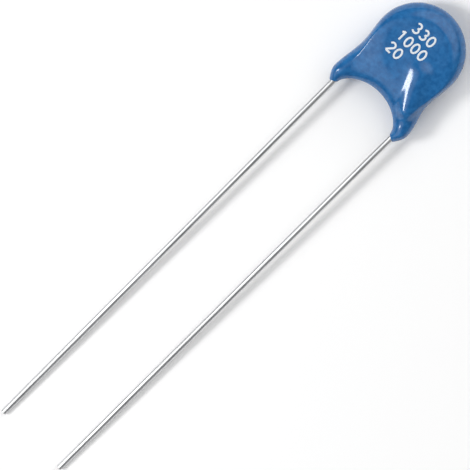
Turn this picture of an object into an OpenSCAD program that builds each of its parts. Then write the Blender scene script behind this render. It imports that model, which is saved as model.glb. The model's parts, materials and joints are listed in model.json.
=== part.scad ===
// Ceramic disc capacitor with two radial leads, lying as it comes to rest on a table.
// Every piece is built upright: X across the leads, front face toward -Y, leads down -Z,
// origin midway between the lowest points of the coating on the two wires.
// lie_down() then lays the whole part on its back, front face up.

/* [Leads] */
// Distance between the axes of the two leads
lead_pitch = 7.5; // [6.8:0.1:8]
// Diameter of the tinned wire
wire_d = 0.6; // [0.5:0.02:0.7]
// Bare length of each lead below the coating
lead_length = 45; // [20:0.5:60]
// Height of the corner at which a wire turns toward the disc
elbow_rise = 1.45; // [1.3:0.05:1.7]
// Distance outside the ceramic's rim from which a wire runs level with the disc's face
level_run = 1.6; // [1:0.1:1.8]

/* [Ceramic] */
// Diameter of the ceramic disc
ceramic_d = 7.9; // [7.2:0.1:8.4]
// Thickness of the ceramic disc
ceramic_t = 1.7; // [1.3:0.1:2.2]
// Bare ceramic left outside each electrode
electrode_margin = 0.45; // [0.3:0.05:0.7]
// Offset of the disc to the left of the middle of the leads
disc_shift = 0.2; // [0:0.05:0.4]
// Height of the disc's centre above the coating's ends
disc_rise = 7.6; // [7.3:0.1:8.4]

/* [Coating] */
// Coating outside the rim of the ceramic
rim_coat = 0.5; // [0.4:0.05:0.8]
// Coating over each electrode
face_coat = 0.6; // [0.5:0.05:0.9]
// Coating over the crest of each wire
ridge_coat = 0.26; // [0.2:0.02:0.4]
// Height of the arch between the legs
arch_rise = 2.4; // [2:0.1:2.8]
// Thickness of the web above the arch
web_t = 2.1; // [1.8:0.1:2.6]
// Coating outside a wire's axis where its leg is fullest
leg_bulge = 0.95; // [0.7:0.05:1.1]
// Height at which the legs reach the web's thickness
leg_rise = 1.7; // [1.4:0.1:2.2]
// How far the right side draws in between its leg and the disc
right_waist_inset = 0.45; // [0.2:0.05:0.7]
// How far the left side draws in between its leg and the disc
left_waist_inset = 0.3; // [0.2:0.05:0.7]

/* [Hidden] */
$fn = 48;

coat_blue = [0.24, 0.43, 0.64];
tinned_grey = [0.82, 0.83, 0.84];
solder_grey = [0.68, 0.69, 0.71];
silver_grey = [0.86, 0.85, 0.82];
ceramic_tan = [0.78, 0.70, 0.56];

// Leads: rounding of their tips
wire_r = wire_d / 2;
lead_x = lead_pitch / 2;
tip_round = 0.1;
// End of a wire on the disc's face, from the disc's centre in shares of the ceramic's radius
wire_end_shares = [0.4, -0.27];
// Bends: height at which the first one starts, radius of the one at the rim, share of the
// thickness that a wire keeps in a bend, and reach of a bend into the straight runs
bend_start = 0.1;
rim_bend_r = 0.6;
bend_share = 0.98;
bend_lap = 0.05;

// Ceramic, electrodes and solder
ceramic_r = ceramic_d / 2;
ceramic_round = 0.15;
electrode_r = ceramic_r - electrode_margin;
electrode_t = 0.04;
solder_film = 0.05;
solder_margin = 0.45;
solder_foot = 0.4;
solder_h = wire_r + solder_film;
face_y = ceramic_t / 2 + electrode_t;
wire_y = face_y + solder_film + wire_r;
disc_centre = [-disc_shift, disc_rise];

// Coating: its thickness at the legs' ends, over the disc and in the web
tip_skin = 0.06;
tip_r = wire_r + tip_skin;
coat_r = ceramic_r + rim_coat;
disc_half = face_y + face_coat;
web_half = web_t / 2;
// Width of the slope from the web up to the disc's face
drape = 3;
// Ridges over the wires: roundness of the crest at the elbow and at the wire's end,
// softness of their feet, straightness of their climb
crest_low_r = 0.5;
crest_high_r = 1.6;
ridge_blend = 0.25;
ridge_straight_share = 0.5;
// Arch: how much higher the coating ends on a wire's inner side, and how pointed the arch is
tip_slant = 0.4;
arch_sharpness = 1.25;
// Sides: the fullest place of a leg and the narrowest place above it
bulge_rise_share = 0.55;
bulge_rise = bulge_rise_share * arch_rise;
bulge_x = lead_x + leg_bulge;
waist_share = 0.53;
waist_rise = bulge_rise + waist_share * (disc_rise - bulge_rise);
// Spacing of the skin's points: each side's share of the outline, crowded toward the legs'
// ends, and the share of even spacing from the arch to the outline
side_share = 0.29;
tip_crowding = 1.5;
even_share = 0.5;
sections = 56;
steps = 36;

// Smooth step from 0 to 1
function ramp(u) = let (c = min(1, max(0, u))) c * c * (3 - 2 * c);

// Rise from 0 to 1 that starts steep and levels off
function level_off(u) = let (c = min(1, max(0, u))) c * (2 - c);

// Quarter-round height, from 0 at an edge to 1 at the distance r from it
function quarter_round(d, r) = sqrt(level_off(d / r));

// Plan points are [x, z], seen from the front.

// Half width of the outline at height z, on the right (side 1) or the left (side -1)
function side_x(z, side) =
    let (disc_edge = coat_r + side * disc_centre.x,
         waist_inset = side > 0 ? right_waist_inset : left_waist_inset,
         waist_x = (bulge_x + disc_edge) / 2 - waist_inset,
         tip_x = lead_x + tip_r)
    z < bulge_rise ? tip_x + (bulge_x - tip_x) * sin(90 * z / bulge_rise)
    : z < waist_rise
        ? bulge_x + (waist_x - bulge_x) * ramp((z - bulge_rise) / (waist_rise - bulge_rise))
        : waist_x + (disc_edge - waist_x) * ramp((z - waist_rise) / (disc_rise - waist_rise));

// Height reached on a side after the share u of it
function side_z(u) = disc_rise * pow(u, tip_crowding);

// Outer outline, from the right leg's end (t = 0) over the disc to the left leg's end (t = 1)
function outer_point(t) =
    t < side_share ? let (z = side_z(t / side_share)) [side_x(z, 1), z]
    : t > 1 - side_share ? let (z = side_z((1 - t) / side_share)) [-side_x(z, -1), z]
    : let (a = 180 * (t - side_share) / (1 - 2 * side_share))
        disc_centre + coat_r * [cos(a), sin(a)];

// Arch between the legs, run through in step with the outer outline. The coating ends
// a little higher on the inner side of each wire.
function inner_point(t) =
    let (rise = pow(sin(180 * t), arch_sharpness))
    [(lead_x - tip_r) * cos(180 * t), tip_slant + (arch_rise - tip_slant) * rise];

// Half thickness of the coating without its ridges: a wire's skin at the legs' ends,
// then the web, then draped over the disc
function base_half(p) =
    let (leg = tip_r + (web_half - tip_r) * level_off(p.y / leg_rise),
         on_disc = ramp((coat_r + drape / 2 - norm(p - disc_centre)) / drape))
    leg + (disc_half - leg) * on_disc;

// The wires in plan, mirrored so that each one starts at the right
function mirrored_centre(side) = [side * disc_centre.x, disc_centre.y];
function elbow_plan() = [lead_x, elbow_rise];
function wire_end_plan(side) = mirrored_centre(side) + ceramic_r * wire_end_shares;

// Point outside the ceramic's rim from which a wire lies level with the disc's face
function rim_plan(side) =
    let (e = elbow_plan(),
         c = mirrored_centre(side),
         run = wire_end_plan(side) - e,
         dir = run / norm(run),
         b = (e - c) * dir,
         r = ceramic_r + level_run)
    e + dir * (-b - sqrt(b * b - norm(e - c) * norm(e - c) + r * r));

// Height of the ridge that the coating forms over a wire
function ridge(p, side) =
    let (e = elbow_plan(),
         run = wire_end_plan(side) - e,
         q = [side * p.x, p.y] - e,
         along = min(norm(run), max(0, q * run / norm(run))),
         off = norm(q - run / norm(run) * along),
         u = min(1, along / norm(rim_plan(side) - e)),
         rise = ridge_straight_share * u + (1 - ridge_straight_share) * ramp(u),
         crest_r = crest_low_r + (crest_high_r - crest_low_r) * along / norm(run),
         crest = wire_y * rise + wire_r + ridge_coat - off * off / (2 * crest_r),
         over = crest - base_half(p))
    (over + sqrt(over * over + ridge_blend * ridge_blend)) / 2;

// Closed loop of points round the coating from the arch to the outer outline
function section_loop(t) =
    let (i = inner_point(t),
         o = outer_point(t),
         reach = norm(o - i),
         edge_r = min(disc_half, reach / 2))
    [for (k = [0 : 2 * steps - 1])
        let (front = k <= steps,
             turn = (front ? k : 2 * steps - k) / steps,
             s = even_share * turn + (1 - even_share) * (1 - cos(180 * turn)) / 2,
             p = i + (o - i) * s,
             half = base_half(p) + ridge(p, front ? 1 : -1),
             round_off = quarter_round(s * reach, edge_r) * quarter_round((1 - s) * reach, edge_r))
        [p.x, (front ? -1 : 1) * half * round_off, p.y]];

loop_size = 2 * steps;
skin_points = [for (i = [0 : sections]) each section_loop(i / sections)];
skin_faces = concat(
    [[for (k = [0 : loop_size - 1]) k]],
    [for (i = [0 : sections - 1], k = [0 : loop_size - 1])
        let (a = i * loop_size + k,
             b = i * loop_size + (k + 1) % loop_size)
        each [[a, a + loop_size, b], [b, a + loop_size, b + loop_size]]],
    [[for (k = [loop_size - 1 : -1 : 0]) sections * loop_size + k]]);

// Resting on the back of the coating and the two lead tips
tip_z = tip_round - lead_length;
rest_slope = max([for (p = skin_points) (p.y - wire_r) / (p.z - tip_z)]);
rest_tilt = atan(rest_slope);
rest_lift = wire_r * cos(rest_tilt) - tip_z * sin(rest_tilt);
far_y = max([for (p = skin_points) p.z * cos(rest_tilt) + p.y * sin(rest_tilt)]);
near_y = -lead_length * cos(rest_tilt) - (wire_r - tip_round) * sin(rest_tilt);

module lie_down() {
    translate([0, -(far_y + near_y) / 2, rest_lift])
        rotate([rest_tilt - 90, 0, 0])
            children();
}

// Turns a front piece into the matching back piece
module on_side(side) {
    rotate([0, 0, side > 0 ? 0 : 180])
        children();
}

// Straight wire between two points
module wire_run(from, to) {
    run = to - from;
    translate(from)
        rotate([0, acos(run.z / norm(run)), atan2(run.y, run.x)])
            cylinder(r = wire_r, h = norm(run));
}

// Angle between two directions
function turn_between(dir_in, dir_out) = acos(dir_in * dir_out);

// Length that a bend of radius r takes up on each side of its corner, and the radius for a length
function bend_take(r, turn) = r * tan(turn / 2);
function bend_radius(take, turn) = take / tan(turn / 2);

// Bend of radius r round a corner, from one direction into another. The wire thins a little
// in a bend, and the bend reaches into the straight runs at both ends.
module wire_bend(corner, dir_in, dir_out, r) {
    turn = turn_between(dir_in, dir_out);
    toward = (dir_out - dir_in * cos(turn)) / sin(turn);
    axis = cross(dir_in, toward);
    centre = corner - dir_in * bend_take(r, turn) + toward * r;
    lap = bend_lap / r * 180 / PI;
    multmatrix([
        [-toward.x, dir_in.x, axis.x, centre.x],
        [-toward.y, dir_in.y, axis.y, centre.y],
        [-toward.z, dir_in.z, axis.z, centre.z]])
        rotate([0, 0, -lap])
            rotate_extrude(angle = turn + 2 * lap)
                translate([r, 0])
                    circle(r = wire_r * bend_share);
}

// Straight lead with a rounded tip, up to the height top
module straight_lead(top) {
    length = top + lead_length;
    translate([lead_x, 0, -lead_length])
        rotate_extrude() {
            square([wire_r - tip_round, length]);
            translate([0, tip_round])
                square([wire_r, length - tip_round]);
            translate([wire_r - tip_round, tip_round])
                circle(r = tip_round);
        }
}

function upright(plan, depth) = [plan.x, -depth, plan.y];
function heading(from, to) = (to - from) / norm(to - from);

// One whole lead: straight to just inside the coating, bent inward and toward its face of
// the disc, then level with that face
module wire(side) {
    elbow = upright(elbow_plan(), 0);
    rim = upright(rim_plan(side), wire_y);
    end = upright(wire_end_plan(side), wire_y);
    up = [0, 0, 1];
    slant = heading(elbow, rim);
    level = heading(rim, end);
    elbow_take = elbow_rise - bend_start;
    rim_take = bend_take(rim_bend_r, turn_between(slant, level));
    on_side(side) {
        straight_lead(bend_start);
        wire_bend(elbow, up, slant, bend_radius(elbow_take, turn_between(up, slant)));
        wire_run(elbow + slant * elbow_take, rim - slant * rim_take);
        wire_bend(rim, slant, level, rim_bend_r);
        wire_run(rim + level * rim_take, end);
    }
}

// Half cross-section of a solder fillet with hollow flanks
module fillet_half() {
    flank = wire_r + solder_foot;
    difference() {
        square([flank, solder_h]);
        translate([flank + solder_film, solder_h + solder_film])
            circle(r = solder_foot);
    }
}

module solder(side) {
    end = wire_end_plan(side);
    dir = heading(rim_plan(side), end);
    back_run = electrode_r - norm(end - mirrored_centre(side)) - solder_margin;
    difference() {
        on_side(side)
            translate(upright(end, face_y))
                rotate([90, 0, 0])
                    rotate([0, 0, atan2(dir.y, dir.x)]) {
                        rotate_extrude()
                            fillet_half();
                        translate([-back_run, 0, 0])
                            rotate([90, 0, 90])
                                linear_extrude(back_run) {
                                    fillet_half();
                                    mirror([1, 0])
                                        fillet_half();
                                }
                    }
        wire(side);
    }
}

module electrode(side) {
    on_side(side)
        translate([side * disc_centre.x, -ceramic_t / 2, disc_rise])
            rotate([90, 0, 0])
                cylinder(r = electrode_r, h = electrode_t);
}

module ceramic() {
    flat_r = ceramic_r - ceramic_round;
    flat_half = ceramic_t / 2 - ceramic_round;
    translate([disc_centre.x, 0, disc_rise])
        rotate([90, 0, 0])
            rotate_extrude() {
                translate([0, -ceramic_t / 2])
                    square([flat_r, ceramic_t]);
                translate([0, -flat_half])
                    square([ceramic_r, 2 * flat_half]);
                translate([flat_r, flat_half])
                    circle(r = ceramic_round);
                translate([flat_r, -flat_half])
                    circle(r = ceramic_round);
            }
}

module coating() {
    color(coat_blue)
        lie_down()
            difference() {
                polyhedron(skin_points, skin_faces);
                ceramic();
                electrode(1);
                electrode(-1);
                wire(1);
                wire(-1);
                solder(1);
                solder(-1);
            }
}

module ceramic_disc() {
    color(ceramic_tan)
        lie_down()
            ceramic();
}

module front_electrode() {
    color(silver_grey)
        lie_down()
            electrode(1);
}

module back_electrode() {
    color(silver_grey)
        lie_down()
            electrode(-1);
}

module front_lead() {
    color(tinned_grey)
        lie_down()
            wire(1);
}

module back_lead() {
    color(tinned_grey)
        lie_down()
            wire(-1);
}

module front_solder() {
    color(solder_grey)
        lie_down()
            solder(1);
}

module back_solder() {
    color(solder_grey)
        lie_down()
            solder(-1);
}

coating();
ceramic_disc();
front_electrode();
back_electrode();
front_lead();
back_lead();
front_solder();
back_solder();
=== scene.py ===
"""Looks of the ceramic disc capacitor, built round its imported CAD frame."""

import json
import math

import bpy
import numpy as np
from mathutils import Matrix, Vector
from mathutils.bvhtree import BVHTree


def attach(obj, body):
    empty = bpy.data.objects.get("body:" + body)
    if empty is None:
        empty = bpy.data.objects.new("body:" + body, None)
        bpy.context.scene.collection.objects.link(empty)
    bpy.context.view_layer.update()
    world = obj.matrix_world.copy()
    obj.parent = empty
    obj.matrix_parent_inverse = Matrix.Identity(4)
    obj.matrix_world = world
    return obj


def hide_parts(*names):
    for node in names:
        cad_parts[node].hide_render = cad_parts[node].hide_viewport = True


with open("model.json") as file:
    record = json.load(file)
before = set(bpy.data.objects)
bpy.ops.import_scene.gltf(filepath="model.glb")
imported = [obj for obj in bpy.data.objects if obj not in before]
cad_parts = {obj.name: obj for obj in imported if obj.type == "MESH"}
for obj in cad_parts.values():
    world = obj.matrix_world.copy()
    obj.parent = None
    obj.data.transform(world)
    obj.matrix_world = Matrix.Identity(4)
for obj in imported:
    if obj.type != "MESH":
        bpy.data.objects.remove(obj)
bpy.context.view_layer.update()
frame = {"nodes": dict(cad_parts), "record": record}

# Upright part in millimetres: X across the leads, Y toward the back, Z up. A plan point is [x, z].
MM = 0.001
pins = {pin["name"]: pin for pin in frame["record"]["mounts"]}
front_pin = pins["front_lead_pin"]
back_pin = pins["back_lead_pin"]

# Leads, from the tip to the end on the disc's face
WIRE_R = front_pin["dims"]["r_mm"]
LEAD_LENGTH = front_pin["dims"]["length_mm"]
LEAD_X = front_pin["pos_m"][0] / MM
TIP_ROUND = 0.1
BEND_START = 0.1
ELBOW_RISE = 1.45
LEVEL_RUN = 1.6
RIM_BEND_R = 0.6
WIRE_END_SHARES = np.array([0.4, -0.27])

# Disc inside the coating
CERAMIC_R = 3.95
CERAMIC_HALF = 0.85
DISC_CENTRE = np.array([-0.2, 7.6])
ELECTRODE_T = 0.04
SOLDER_FILM = 0.05
FACE_Y = CERAMIC_HALF + ELECTRODE_T
WIRE_Y = FACE_Y + SOLDER_FILM + WIRE_R

# Coating's thickness on the disc, the web and the legs
RIM_COAT = 0.5
FACE_COAT = 0.6
COAT_R = CERAMIC_R + RIM_COAT
DISC_HALF = FACE_Y + FACE_COAT
WEB_HALF = 1.05
DRAPE = 3.0
TIP_SKIN = 0.06
TIP_R = WIRE_R + TIP_SKIN
LEG_RISE = 1.7

# Ridge of the coating over each wire, with its crest's radius at the elbow and at the wire's end
RIDGE_COAT = 0.26
CREST_R = (0.5, 1.6)
RIDGE_BLEND = 0.25
RIDGE_STRAIGHT_SHARE = 0.5

# Waves on the coating: radians per millimetre across and up, and how often the back's phase is added
WAVE_SHARE = 0.012
WAVES = [(2.1, 1.3, 1), (-1.2, 2.6, 2), (3.4, -0.8, 0)]
BACK_PHASE = 2.0

# Coating's outline: a bulge on each leg, a waist on the right (1) and left (-1), an arch between the legs
ARCH_RISE = 2.4
ARCH_SHARPNESS = 1.25
TIP_SLANT = 0.4
LEG_BULGE = 0.95
BULGE_X = LEAD_X + LEG_BULGE
BULGE_SHARE = 0.55
BULGE_RISE = BULGE_SHARE * ARCH_RISE
WAIST_INSETS = {1: 0.45, -1: 0.3}
WAIST_SHARE = 0.53
WAIST_RISE = BULGE_RISE + WAIST_SHARE * (DISC_CENTRE[1] - BULGE_RISE)

# Fineness of the meshes
SIDE_SHARE = 0.29
TIP_CROWDING = 1.5
EVEN_SHARE = 0.5
COAT_SECTIONS = 240
COAT_STEPS = 110
WIRE_SIDES = 32
TIP_ROWS = 7
STRAIGHT_ROWS = 60
ELBOW_ROWS = 14
RIM_ROWS = 10

# Place of the upright part in the frame, from its two pins
SHOULDER = (np.array(front_pin["pos_m"]) + np.array(back_pin["pos_m"])) / 2
UP = -np.array(front_pin["axis"])
ACROSS = np.array([1.0, 0.0, 0.0])
UPRIGHT_AXES = np.array([ACROSS, np.cross(UP, ACROSS), UP])


def to_frame(points):
    """Upright millimetres to metres in the frame."""
    return SHOULDER + MM * np.asarray(points) @ UPRIGHT_AXES


def unit(vector):
    return vector / np.linalg.norm(vector)


def ramp(value):
    """Rise from 0 to 1 that is level at both ends."""
    share = np.clip(value, 0, 1)
    return share * share * (3 - 2 * share)


def ease_out(value):
    """Rise from 0 to 1 that starts steep and ends level."""
    share = np.clip(value, 0, 1)
    return share * (2 - share)


def quarter_round(distance, radius):
    """Height of a quarter circle, from 0 at an edge to 1 at the radius and beyond."""
    share = np.minimum(1, distance / radius)
    return np.sqrt(share * (2 - share))


def loop_faces(rows, size, closed=False):
    """Quads between successive loops of points.

    A closed run joins its last loop to the first, and an open one has a face over each end.
    """
    faces = []
    for row in range(rows if closed else rows - 1):
        after = (row + 1) % rows
        for corner in range(size):
            ahead = (corner + 1) % size
            near = (row * size + corner, row * size + ahead)
            far = (after * size + ahead, after * size + corner)
            faces.append((*near, *far))
    if not closed:
        faces.append(tuple(range(size))[::-1])
        faces.append(tuple(range((rows - 1) * size, rows * size)))
    return faces


# Shape of the coating


def side_x(z, side):
    """Half width of the outline at height z, on the right (1) or the left (-1)."""
    disc_edge = COAT_R + side * DISC_CENTRE[0]
    waist_x = (BULGE_X + disc_edge) / 2 - WAIST_INSETS[side]
    tip_x = LEAD_X + TIP_R
    neck_share = (z - BULGE_RISE) / (WAIST_RISE - BULGE_RISE)
    shoulder_share = (z - WAIST_RISE) / (DISC_CENTRE[1] - WAIST_RISE)
    leg = tip_x + (BULGE_X - tip_x) * np.sin(math.pi / 2 * z / BULGE_RISE)
    neck = BULGE_X + (waist_x - BULGE_X) * ramp(neck_share)
    shoulder = waist_x + (disc_edge - waist_x) * ramp(shoulder_share)
    return np.where(z < BULGE_RISE, leg, np.where(z < WAIST_RISE, neck, shoulder))


def outer_points(way):
    """Outer outline, from the right leg's end (0) over the disc to the left leg's end (1)."""
    right_z = DISC_CENTRE[1] * np.clip(way / SIDE_SHARE, 0, 1) ** TIP_CROWDING
    left_z = DISC_CENTRE[1] * np.clip((1 - way) / SIDE_SHARE, 0, 1) ** TIP_CROWDING
    angle = math.pi * (way - SIDE_SHARE) / (1 - 2 * SIDE_SHARE)
    right = np.stack([side_x(right_z, 1), right_z], -1)
    left = np.stack([-side_x(left_z, -1), left_z], -1)
    disc = DISC_CENTRE + COAT_R * np.stack([np.cos(angle), np.sin(angle)], -1)
    on_right = (way < SIDE_SHARE)[:, None]
    on_left = (way > 1 - SIDE_SHARE)[:, None]
    return np.where(on_right, right, np.where(on_left, left, disc))


def inner_points(way):
    """Arch between the legs, run through in step with the outer outline."""
    angle = math.pi * way
    rise = np.clip(np.sin(angle), 0, 1) ** ARCH_SHARPNESS
    across = (LEAD_X - TIP_R) * np.cos(angle)
    return np.stack([across, TIP_SLANT + (ARCH_RISE - TIP_SLANT) * rise], -1)


def base_half(plan):
    """Half thickness of the coating without its ridges."""
    leg = TIP_R + (WEB_HALF - TIP_R) * ease_out(plan[..., 1] / LEG_RISE)
    from_centre = np.linalg.norm(plan - DISC_CENTRE, axis=-1)
    return leg + (DISC_HALF - leg) * ramp((COAT_R + DRAPE / 2 - from_centre) / DRAPE)


def wire_plan(side):
    """Elbow, level point and end of a wire, mirrored so that it starts at the right."""
    elbow = np.array([LEAD_X, ELBOW_RISE])
    centre = DISC_CENTRE * [side, 1]
    end = centre + CERAMIC_R * WIRE_END_SHARES
    heading = unit(end - elbow)
    from_centre = elbow - centre
    nearest = from_centre @ heading
    level_r = CERAMIC_R + LEVEL_RUN
    to_level = -nearest - math.sqrt(nearest**2 - from_centre @ from_centre + level_r**2)
    return elbow, elbow + heading * to_level, end


def ridge(plan, side):
    """Height of the ridge that the coating forms over a wire."""
    elbow, level, end = wire_plan(side)
    length = np.linalg.norm(end - elbow)
    heading = unit(end - elbow)
    offset = plan * [side, 1] - elbow
    along = np.clip(offset @ heading, 0, length)
    aside = np.linalg.norm(offset - along[..., None] * heading, axis=-1)
    to_level = np.minimum(1, along / np.linalg.norm(level - elbow))
    rise = RIDGE_STRAIGHT_SHARE * to_level + (1 - RIDGE_STRAIGHT_SHARE) * ramp(to_level)
    crest_r = CREST_R[0] + (CREST_R[1] - CREST_R[0]) * along / length
    over = WIRE_Y * rise + WIRE_R + RIDGE_COAT - aside**2 / (2 * crest_r) - base_half(plan)
    return (over + np.sqrt(over**2 + RIDGE_BLEND**2)) / 2


def unevenness(plan, phase):
    """Slow waves that dipping leaves, between -1 and 1."""
    x, z = plan[..., 0], plan[..., 1]
    return sum(np.sin(across * x + up * z + times * phase) for across, up, times in WAVES) / len(WAVES)


def coating_loops():
    """Loops of points round the coating, from the arch to the outer outline and back."""
    way = np.linspace(0, 1, COAT_SECTIONS + 1)
    inner, outer = inner_points(way), outer_points(way)
    reach = np.linalg.norm(outer - inner, axis=-1)[:, None]
    edge_r = np.minimum(DISC_HALF, reach / 2)
    step = np.arange(2 * COAT_STEPS)
    front = step <= COAT_STEPS
    turn = np.where(front, step, 2 * COAT_STEPS - step) / COAT_STEPS
    outward = EVEN_SHARE * turn + (1 - EVEN_SHARE) * (1 - np.cos(math.pi * turn)) / 2
    plan = inner[:, None] + (outer - inner)[:, None] * outward[None, :, None]
    half = base_half(plan) + np.where(front, ridge(plan, 1), ridge(plan, -1))
    half = half * quarter_round(outward * reach, edge_r) * quarter_round((1 - outward) * reach, edge_r)
    half = half * (1 + WAVE_SHARE * unevenness(plan, np.where(front, 0.0, BACK_PHASE)))
    return np.stack([plan[..., 0], np.where(front, -half, half), plan[..., 1]], -1)


# Shape of the leads


def bend(corner, dir_in, dir_out, radius, count):
    """Points of a round bend in place of a corner between two directions."""
    turn = math.acos(dir_in @ dir_out)
    toward = (dir_out - dir_in * math.cos(turn)) / math.sin(turn)
    start = corner - dir_in * (radius * math.tan(turn / 2))
    angles = np.linspace(0, turn, count)[:, None]
    return start + radius * (np.sin(angles) * dir_in + (1 - np.cos(angles)) * toward)


def lead_loops(side):
    """Loops of points along a lead, from its rounded tip to its end on the disc's face."""
    depths = (0, WIRE_Y, WIRE_Y)
    elbow, level, end = (np.array([x, -depth, z]) for (x, z), depth in zip(wire_plan(side), depths))
    up = np.array([0.0, 0.0, 1.0])
    slant, flat = unit(level - elbow), unit(end - level)
    elbow_r = (ELBOW_RISE - BEND_START) / math.tan(math.acos(up @ slant) / 2)
    round_off = np.linspace(0, math.pi / 2, TIP_ROWS)
    tip_z = -LEAD_LENGTH + TIP_ROUND * (1 - np.cos(round_off))
    straight_z = np.linspace(tip_z[-1], BEND_START, STRAIGHT_ROWS)[1:-1]
    heights = np.concatenate([tip_z, straight_z])
    straight = np.array([LEAD_X, 0, 0]) + heights[:, None] * up
    elbow_bend = bend(elbow, up, slant, elbow_r, ELBOW_ROWS)
    rim_bend = bend(level, slant, flat, RIM_BEND_R, RIM_ROWS)
    path = np.concatenate([straight, elbow_bend, rim_bend, end[None]])
    radii = np.full(len(path), WIRE_R)
    radii[: len(tip_z)] = WIRE_R - TIP_ROUND + TIP_ROUND * np.sin(round_off)
    tangents = np.gradient(path, axis=0)
    tangents[: len(straight)] = up
    across = np.array([1.0, 0.0, 0.0])
    angles = np.linspace(0, 2 * math.pi, WIRE_SIDES, endpoint=False)[:, None]
    loops = []
    for point, radius, tangent in zip(path, radii, tangents):
        along = unit(tangent)
        across = unit(across - along * (across @ along))
        ring = np.cos(angles) * across + np.sin(angles) * np.cross(along, across)
        loops.append(point + radius * ring)
    return np.array(loops) * [side, side, 1]


# Print on the front: each row has plain numerals, its middle across and the height of its base
ARC_POINTS = 25
RUN_STEPS = 8
NUMERAL_WIDTH = 0.6
PRINT_HEIGHT = 0.95
PRINT_GAP = 0.3
PRINT_STROKE = 0.19
PRINT_ROWS = [("330", -0.75, 8.75), ("1000", -0.9, 7.3), ("20", -1.7, 5.85)]
INK = 0.012
INK_COLUMNS = 5
INK_SQUARENESS = 4
IN_FRONT = 10


def arc(x, z, rx, rz, start, stop):
    """Part of an ellipse between two angles in degrees."""
    angles = np.radians(np.linspace(start, stop, ARC_POINTS))
    return np.stack([x + rx * np.cos(angles), z + rz * np.sin(angles)], -1)


def corners(*points):
    """Straight runs from point to point, each in even steps."""
    points = np.array(points, float)
    steps = np.linspace(0, 1, RUN_STEPS, endpoint=False)[:, None]
    runs = [start + (stop - start) * steps for start, stop in zip(points[:-1], points[1:])]
    return np.concatenate([*runs, points[-1:]])


# Each numeral as one stroke in a box one unit high
NUMERALS = {
    "0": arc(0.3, 0.5, 0.3, 0.5, 0, 360),
    "1": corners((0.1, 0.78), (0.36, 1), (0.36, 0)),
    "2": np.concatenate([arc(0.3, 0.72, 0.28, 0.28, 165, -30), corners((0.02, 0), (0.6, 0))]),
    "3": np.concatenate([arc(0.28, 0.755, 0.26, 0.245, 150, -80), arc(0.28, 0.27, 0.31, 0.27, 80, -150)]),
}


def print_strokes():
    """Plan points of every numeral of the print, each of them one stroke."""
    pitch = NUMERAL_WIDTH * PRINT_HEIGHT + PRINT_GAP
    for text, middle, base in PRINT_ROWS:
        start = middle - (pitch * len(text) - PRINT_GAP) / 2
        for place, numeral in enumerate(text):
            yield NUMERALS[numeral] * PRINT_HEIGHT + [start + place * pitch, base]


def stroke_tangents(stroke, closed):
    """Unit tangents along a stroke."""
    if closed:
        tangents = np.roll(stroke, -1, axis=0) - np.roll(stroke, 1, axis=0)
    else:
        tangents = np.gradient(stroke, axis=0)
    return tangents / np.linalg.norm(tangents, axis=1)[:, None]


def print_mesh(surface):
    """Ribbons of ink laid on the coating's front, rounded on top and let into it below."""
    top = np.linspace(1, -1, INK_COLUMNS)
    shares = [*top, -1, 1]
    lifts = [*(1 - top**INK_SQUARENESS), -1, -1]
    points, faces = [], []
    for stroke in print_strokes():
        closed = np.allclose(stroke[0], stroke[-1])
        centres = stroke[:-1] if closed else stroke
        first = len(points)
        for centre, tangent in zip(centres, stroke_tangents(centres, closed)):
            aside = np.array([-tangent[1], tangent[0]]) * PRINT_STROKE / 2
            for share, lift in zip(shares, lifts):
                x, z = centre + aside * share
                hit, normal, _, _ = surface.ray_cast(Vector((x, -IN_FRONT, z)), Vector((0, 1, 0)))
                points.append(hit + normal * INK * lift)
        for face in loop_faces(len(centres), len(shares), closed):
            faces.append([first + corner for corner in face])
    return np.array(points), faces


# Materials, with the range that most of the noise lies in
NOISE_LOW = 0.3
NOISE_HIGH = 0.7
NOISE_MIDDLE = (NOISE_LOW + NOISE_HIGH) / 2
DULL_ROUGHNESS_SPREAD = 0.06


def new_material(name, **sockets):
    """Principled material. An underscore in a socket's name stands for a space."""
    material = bpy.data.materials.new(name)
    material.use_nodes = True
    bsdf = material.node_tree.nodes["Principled BSDF"]
    for socket, value in sockets.items():
        bsdf.inputs[socket.replace("_", " ")].default_value = value
    return material, material.node_tree, bsdf


def noise(tree, size_mm, detail, stretch=(1, 1, 1)):
    """Noise in the object's own space, with features of about the given size."""
    place = tree.nodes.new("ShaderNodeTexCoord")
    mapping = tree.nodes.new("ShaderNodeMapping")
    mapping.inputs["Scale"].default_value = stretch
    texture = tree.nodes.new("ShaderNodeTexNoise")
    texture.inputs["Scale"].default_value = 1 / (size_mm * MM)
    texture.inputs["Detail"].default_value = detail
    tree.links.new(place.outputs["Object"], mapping.inputs["Vector"])
    tree.links.new(mapping.outputs["Vector"], texture.inputs["Vector"])
    return texture.outputs["Fac"]


def blend_colours(tree, bsdf, factor, low, high, spread):
    """Colours the material from low to high as the factor crosses its middle."""
    colours = tree.nodes.new("ShaderNodeValToRGB")
    first, last = colours.color_ramp.elements
    first.position, first.color = NOISE_MIDDLE - spread, (*low, 1)
    last.position, last.color = NOISE_MIDDLE + spread, (*high, 1)
    tree.links.new(factor, colours.inputs["Fac"])
    tree.links.new(colours.outputs["Color"], bsdf.inputs["Base Color"])


def vary_roughness(tree, bsdf, factor, low, high):
    """Roughness that goes from low to high over the factor's usual range."""
    mapped = tree.nodes.new("ShaderNodeMapRange")
    mapped.inputs["From Min"].default_value = NOISE_LOW
    mapped.inputs["From Max"].default_value = NOISE_HIGH
    mapped.inputs["To Min"].default_value = low
    mapped.inputs["To Max"].default_value = high
    tree.links.new(factor, mapped.inputs["Value"])
    tree.links.new(mapped.outputs["Result"], bsdf.inputs["Roughness"])


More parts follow.
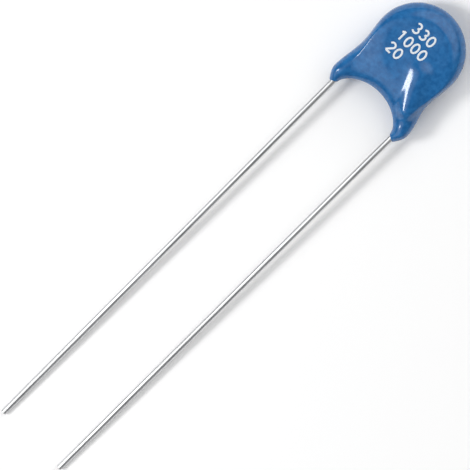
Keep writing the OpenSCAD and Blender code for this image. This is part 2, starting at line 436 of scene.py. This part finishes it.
def add_bump(tree, bsdf, height, depth_mm, strength):
    bump = tree.nodes.new("ShaderNodeBump")
    bump.inputs["Distance"].default_value = depth_mm * MM
    bump.inputs["Strength"].default_value = strength
    tree.links.new(height, bump.inputs["Height"])
    tree.links.new(bump.outputs["Normal"], bsdf.inputs["Normal"])


def epoxy():
    """Glossy blue coating with a fine mottle of pigment."""
    material, tree, bsdf = new_material("epoxy_blue", Specular_IOR_Level=0.5)
    mottle = noise(tree, size_mm=0.5, detail=4)
    gloss = noise(tree, size_mm=0.5, detail=2)
    ripple = noise(tree, size_mm=0.45, detail=1)
    blend_colours(tree, bsdf, mottle, low=(0.006, 0.098, 0.288), high=(0.018, 0.148, 0.386), spread=0.17)
    vary_roughness(tree, bsdf, gloss, low=0.12, high=0.18)
    add_bump(tree, bsdf, ripple, depth_mm=0.008, strength=0.5)
    return material


def tinned_wire():
    """Bright tin with marks drawn out along the wire."""
    material, tree, bsdf = new_material("tinned_wire", Metallic=1.0)
    drawn = noise(tree, size_mm=0.25, detail=3, stretch=(1, 0.05, 1))
    blend_colours(tree, bsdf, drawn, low=(0.60, 0.61, 0.62), high=(0.76, 0.77, 0.78), spread=0.25)
    vary_roughness(tree, bsdf, drawn, low=0.3, high=0.42)
    add_bump(tree, bsdf, drawn, depth_mm=0.006, strength=0.4)
    return material


def dull(name, low, high, size_mm, roughness, metallic):
    """Matt, grainy material for a piece inside the coating."""
    material, tree, bsdf = new_material(name, Metallic=metallic)
    grain = noise(tree, size_mm, detail=4)
    blend_colours(tree, bsdf, grain, low, high, spread=0.25)
    smooth, rough = roughness - DULL_ROUGHNESS_SPREAD, roughness + DULL_ROUGHNESS_SPREAD
    vary_roughness(tree, bsdf, grain, low=smooth, high=rough)
    add_bump(tree, bsdf, grain, depth_mm=0.01, strength=0.4)
    return material


def white_ink():
    """White print that has worn a little blue."""
    material, tree, bsdf = new_material("white_ink", Specular_IOR_Level=0.4)
    wear = noise(tree, size_mm=0.12, detail=3)
    blend_colours(tree, bsdf, wear, low=(0.62, 0.68, 0.74), high=(0.84, 0.86, 0.88), spread=0.15)
    vary_roughness(tree, bsdf, wear, low=0.6, high=0.4)
    return material


# Pieces


def add_piece(name, points, faces, material, node=None):
    """Smooth mesh on the root, given in upright millimetres."""
    mesh = bpy.data.meshes.new(name)
    mesh.from_pydata(to_frame(points).tolist(), [], faces)
    mesh.validate()
    mesh.shade_smooth()
    mesh.materials.append(material)
    piece = bpy.data.objects.new(name, mesh)
    bpy.context.scene.collection.objects.link(piece)
    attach(piece, "root")
    if node:
        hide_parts(node)


epoxy_blue = epoxy()
wire_tin = tinned_wire()
ceramic_tan = dull(
    "ceramic_tan",
    low=(0.52, 0.40, 0.23),
    high=(0.60, 0.48, 0.30),
    size_mm=0.2,
    roughness=0.7,
    metallic=0.0,
)
fired_silver = dull(
    "fired_silver",
    low=(0.72, 0.71, 0.67),
    high=(0.82, 0.81, 0.77),
    size_mm=0.12,
    roughness=0.5,
    metallic=1.0,
)
solder_grey = dull(
    "solder_grey",
    low=(0.50, 0.51, 0.53),
    high=(0.60, 0.61, 0.63),
    size_mm=0.3,
    roughness=0.4,
    metallic=1.0,
)
dressed = {
    "ceramic_disc": ceramic_tan,
    "front_electrode": fired_silver,
    "back_electrode": fired_silver,
    "front_solder": solder_grey,
    "back_solder": solder_grey,
}
for node, material in dressed.items():
    frame["nodes"][node].data.materials.clear()
    frame["nodes"][node].data.materials.append(material)

coat = coating_loops()
coat_points = coat.reshape(-1, 3)
coat_faces = loop_faces(*coat.shape[:2])
add_piece("coating_skin", coat_points, coat_faces, epoxy_blue, node="coating")

ink_points, ink_faces = print_mesh(BVHTree.FromPolygons(coat_points.tolist(), coat_faces))
add_piece("front_print", ink_points, ink_faces, white_ink())

for node, side in (("front_lead", 1), ("back_lead", -1)):
    lead = lead_loops(side)
    lead_faces = loop_faces(*lead.shape[:2])
    lead_points = lead.reshape(-1, 3)
    add_piece(node + "_wire", lead_points, lead_faces, wire_tin, node=node)

# Table, in metres
TABLE_HALF = 1.5
TABLE_WHITE = 0.95
TABLE_ROUGHNESS = 0.9

table_mesh = bpy.data.meshes.new("table")
table_corners = [(-1, -1), (1, -1), (1, 1), (-1, 1)]
table_mesh.from_pydata([(x * TABLE_HALF, y * TABLE_HALF, 0) for x, y in table_corners], [], [(0, 1, 2, 3)])
table_colour = (TABLE_WHITE, TABLE_WHITE, TABLE_WHITE, 1)
table_material, _, _ = new_material("table_white", Base_Color=table_colour, Roughness=TABLE_ROUGHNESS)
table_mesh.materials.append(table_material)
table = bpy.data.objects.new("table", table_mesh)
bpy.context.scene.collection.objects.link(table)

# Light, in metres and degrees. The photo's own right and up lie at 45 degrees to the leads.
SCREEN_RIGHT = np.array([1.0, 1.0, 0.0]) / math.sqrt(2)
SCREEN_UP = np.array([-1.0, 1.0, 0.0]) / math.sqrt(2)


def sky_direction(screen_angle, elevation):
    """Unit vector toward a place in the sky, by its angle on the screen and its height."""
    angle, rise = math.radians(screen_angle), math.radians(elevation)
    level = SCREEN_RIGHT * math.cos(angle) + SCREEN_UP * math.sin(angle)
    return level * math.cos(rise) + np.array([0, 0, math.sin(rise)])


def add_lamp(name, screen_angle, elevation, distance, size, share):
    """Round lamp that lights a white surface turned to it up to a share of full white."""
    place = Vector(sky_direction(screen_angle, elevation)) * distance
    data = bpy.data.lights.new(name, "AREA")
    data.shape = "DISK"
    data.size = size
    data.energy = share * (math.pi * distance) ** 2
    lamp = bpy.data.objects.new(name, data)
    lamp.location = place
    lamp.rotation_euler = (-place).to_track_quat("-Z", "Y").to_euler()
    bpy.context.scene.collection.objects.link(lamp)


add_lamp("key", screen_angle=172, elevation=48, distance=0.3, size=0.08, share=0.4)

# Sky: a dim room and soft patches, each with screen angle, elevation, inner and outer radius and level
ROOM_LEVEL = 0.2
SKY_PATCHES = [(200, 48, 18, 40, 1.2), (45, 40, 20, 50, 1.45)]

world = bpy.data.worlds.new("studio")
world.use_nodes = True
bpy.context.scene.world = world
sky = world.node_tree
direction = sky.nodes.new("ShaderNodeTexCoord").outputs["Generated"]
total = None
for screen_angle, elevation, inner, outer, level in SKY_PATCHES:
    toward = sky.nodes.new("ShaderNodeVectorMath")
    toward.operation = "DOT_PRODUCT"
    toward.inputs[1].default_value = sky_direction(screen_angle, elevation)
    sky.links.new(direction, toward.inputs[0])
    patch = sky.nodes.new("ShaderNodeMapRange")
    patch.interpolation_type = "SMOOTHSTEP"
    patch.inputs["From Min"].default_value = math.cos(math.radians(outer))
    patch.inputs["From Max"].default_value = math.cos(math.radians(inner))
    patch.inputs["To Max"].default_value = level
    sky.links.new(toward.outputs["Value"], patch.inputs["Value"])
    added = sky.nodes.new("ShaderNodeMath")
    added.inputs[1].default_value = ROOM_LEVEL
    if total:
        sky.links.new(total, added.inputs[1])
    sky.links.new(patch.outputs["Result"], added.inputs[0])
    total = added.outputs["Value"]
background = sky.nodes["Background"]
background.inputs["Color"].default_value = (1, 1, 1, 1)
sky.links.new(total, background.inputs["Strength"])

# Camera, leaning toward the disc's end and turned so that the leads run to the lower left
AIM_MM = (-0.093, 0, -16.7)
CAMERA_DISTANCE = 0.26
CAMERA_LEAN = math.radians(10.36)
CAMERA_TURN = math.radians(45)
CLIP_START = 0.01
CLIP_END = 10
FRAME_PIXELS = 470
PIXELS_PER_RADIAN = 2782
SENSOR_MM = 36

view_back = np.array([0, math.sin(CAMERA_LEAN), math.cos(CAMERA_LEAN)])
level_up = np.cross(view_back, ACROSS)
view_right = math.cos(CAMERA_TURN) * ACROSS + math.sin(CAMERA_TURN) * level_up
view_up = np.cross(view_back, view_right)
camera_place = to_frame(AIM_MM) + view_back * CAMERA_DISTANCE
camera_data = bpy.data.cameras.new("camera")
camera_data.sensor_width = SENSOR_MM
camera_data.lens = PIXELS_PER_RADIAN / FRAME_PIXELS * SENSOR_MM
camera_data.clip_start = CLIP_START
camera_data.clip_end = CLIP_END
camera = bpy.data.objects.new("camera", camera_data)
pose = Matrix.Identity(4)
for column, axis in enumerate((view_right, view_up, view_back, camera_place)):
    pose.col[column].xyz = axis
camera.matrix_world = pose
bpy.context.scene.collection.objects.link(camera)
bpy.context.scene.camera = camera
bpy.context.scene.view_settings.view_transform = "Standard"
